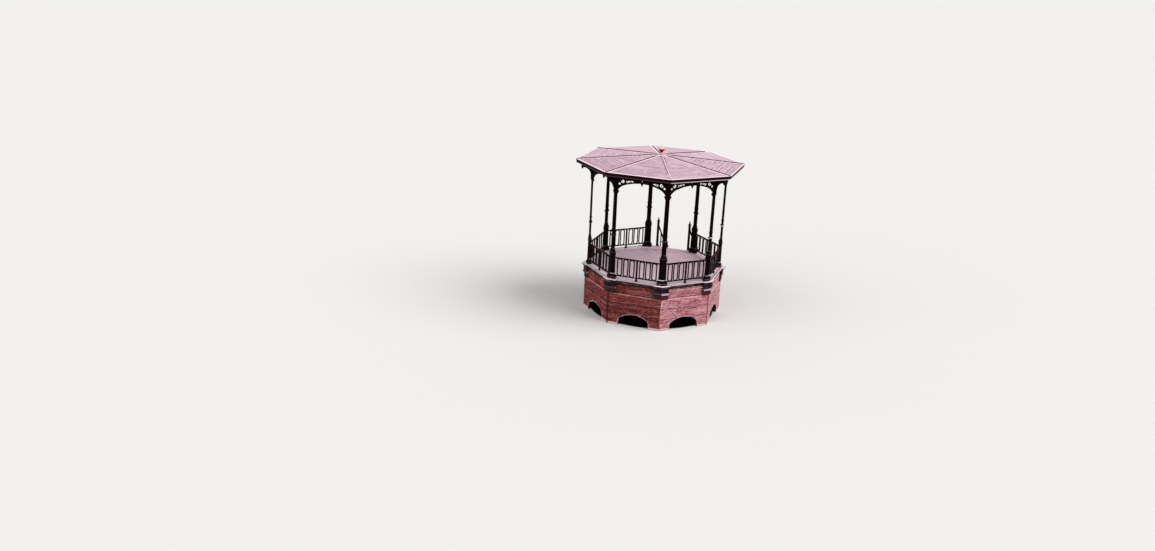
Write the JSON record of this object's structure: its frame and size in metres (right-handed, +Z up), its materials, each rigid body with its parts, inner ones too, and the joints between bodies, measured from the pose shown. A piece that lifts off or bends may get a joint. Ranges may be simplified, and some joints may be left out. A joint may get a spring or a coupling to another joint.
{
  "type": "model railway bandstand",
  "caption": "Eight-sided model bandstand: arched plinth, railed deck, moulded columns with eaves brackets, pierced spandrels, shallow ribbed roof and steps up to its open bay.",
  "frame": {"origin": "the middle of the footprint, steps included, on the ground the bandstand stands on", "axes": "+Z is up, +Y points out of the entrance bay along the steps, and +X is to the right of someone who faces the entrance from inside"},
  "size_m": [0.0898, 0.1134, 0.0985],
  "materials": {
    "stone": "matt dusty red-brown, moulded as coursed stone",
    "lilac": "matt pale lilac-grey",
    "iron": "near-black with a low sheen, as painted cast iron",
    "copper": "copper and gold paint"
  },
  "bodies": {
    "root": {"plinth_wall_front": "stone", "plinth_wall_front_right": "stone", "plinth_wall_right": "stone", "plinth_wall_back_right": "stone", "plinth_wall_back": "stone", "plinth_wall_back_left": "stone", "plinth_wall_left": "stone", "plinth_wall_front_left": "stone", "coping": "lilac", "deck": "lilac", "corner_corbels": "stone", "column_front_right": "iron", "column_right_front": "iron", "column_right_back": "iron", "column_back_right": "iron", "column_back_left": "iron", "column_left_back": "iron", "column_left_front": "iron", "column_front_left": "iron", "railing_front": "iron", "railing_front_right": "iron", "railing_right": "iron", "railing_back_right": "iron", "railing_back_left": "iron", "railing_left": "iron", "railing_front_left": "iron", "spandrel_front": "iron", "spandrel_front_right": "iron", "spandrel_right": "iron", "spandrel_back_right": "iron", "spandrel_back": "iron", "spandrel_back_left": "iron", "spandrel_left": "iron", "spandrel_front_left": "iron", "ring_beam": "iron", "roof_soffit": "lilac", "roof_fascia": "iron", "roof_cover": "lilac", "hip_ribs": "lilac", "finial": "copper", "step_flight": "stone", "step_wall_left": "stone", "step_wall_right": "stone", "handrail_left": "iron", "handrail_right": "iron"}
  },
  "joints": []
}
